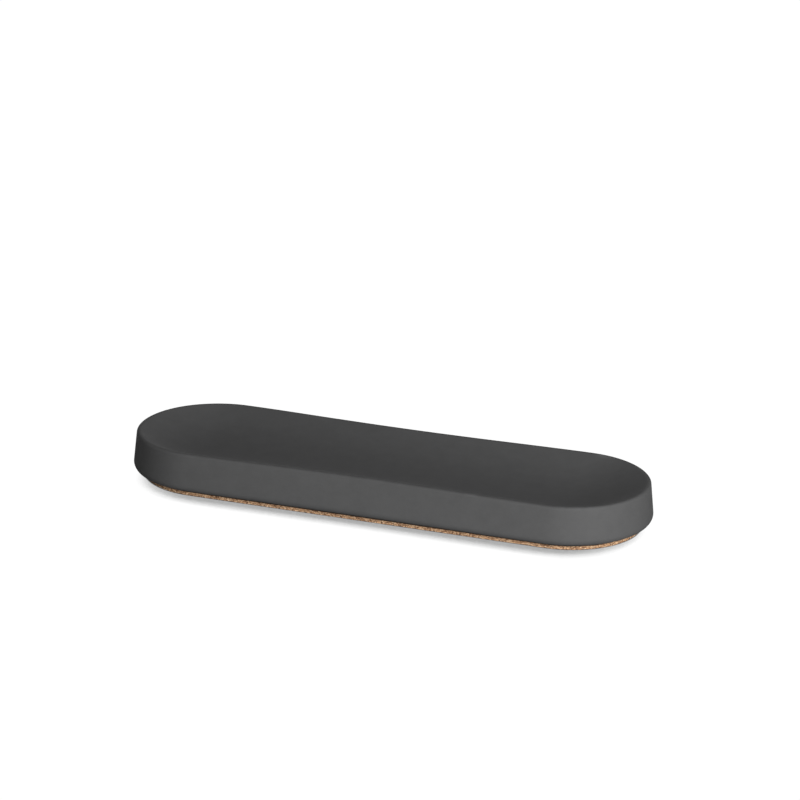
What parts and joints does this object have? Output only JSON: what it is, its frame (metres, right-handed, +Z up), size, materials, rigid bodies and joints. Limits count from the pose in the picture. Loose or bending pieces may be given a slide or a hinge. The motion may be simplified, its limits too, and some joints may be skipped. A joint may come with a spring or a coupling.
{
  "type": "pen tray",
  "caption": "Low, round-ended desk tray: a matte dark grey cast body with a shallow scooped dish and a thin soft rim, on an inset cork base.",
  "frame": {"origin": "centre of the cork's underside, on the surface that the tray stands on", "axes": "+X along the tray, +Y across it to the back, +Z up out of the dish"},
  "size_m": [0.23, 0.072, 0.0194],
  "materials": {
    "cast_mineral": "matte, fine grained",
    "adhesive": "satin film",
    "cork": "matte, granular"
  },
  "bodies": {
    "root": {"tray_body": "cast_mineral", "adhesive_sheet": "adhesive", "cork_base": "cork"}
  },
  "joints": []
}
